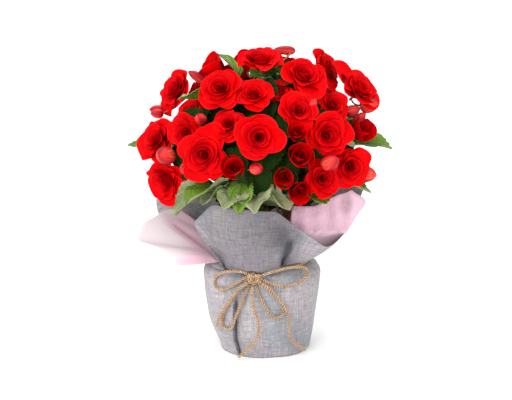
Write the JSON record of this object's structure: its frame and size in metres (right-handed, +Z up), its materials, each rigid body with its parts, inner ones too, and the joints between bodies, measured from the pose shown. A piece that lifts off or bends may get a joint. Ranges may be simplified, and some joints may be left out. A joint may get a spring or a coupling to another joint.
{
  "type": "potted begonia",
  "caption": "Double red begonia in a pot, dressed in a gathered grey cloth wrap with a flared collar, pink tissue and a jute twine bow.",
  "frame": {"origin": "centre of the wrap's flat underside, on the surface that the plant stands on", "axes": "+Z up, the bow and the front of the collar face -Y, +X to the right as seen from the front"},
  "size_m": [0.3073, 0.2377, 0.3616],
  "materials": {
    "petals": "satin",
    "foliage": "satin",
    "linen": "matte",
    "tissue": "matte",
    "twine": "matte",
    "terracotta": "matte",
    "soil": "matte"
  },
  "bodies": {
    "root": {"pot": "terracotta", "soil": "soil", "wrap_grey": "linen", "tissue_left": "tissue", "tissue_right": "tissue", "twine_band": "twine", "twine_knot": "twine", "twine_loop_upper_right": "twine", "twine_loop_upper_left": "twine", "twine_loop_lower_left": "twine", "twine_loop_lower_right": "twine", "twine_tail_centre": "twine", "twine_tail_right": "twine", "twine_tail_left": "twine", "leafy_stem_1": "foliage", "leafy_stem_2": "foliage", "leafy_stem_3": "foliage", "leafy_stem_4": "foliage", "leafy_stem_5": "foliage", "leafy_stem_6": "foliage", "bloom_01": "petals", "bloom_02": "petals", "bloom_03": "petals", "bloom_04": "petals", "bloom_05": "petals", "bloom_06": "petals", "bloom_07": "petals", "bloom_08": "petals", "bloom_09": "petals", "bloom_10": "petals", "bloom_11": "petals", "bloom_12": "petals", "bloom_13": "petals", "bloom_14": "petals", "bloom_15": "petals", "bloom_16": "petals", "bloom_17": "petals", "bloom_18": "petals", "bloom_19": "petals", "bloom_20": "petals", "bloom_21": "petals", "bloom_22": "petals", "bloom_23": "petals", "bloom_24": "petals", "bloom_25": "petals", "bloom_26": "petals", "bloom_27": "petals", "bloom_28": "petals", "bloom_29": "petals", "bloom_30": "petals", "bloom_31": "petals", "bloom_32": "petals", "bloom_33": "petals", "bloom_34": "petals", "bloom_35": "petals", "bloom_36": "petals", "bloom_37": "petals", "bloom_38": "petals"}
  },
  "joints": []
}
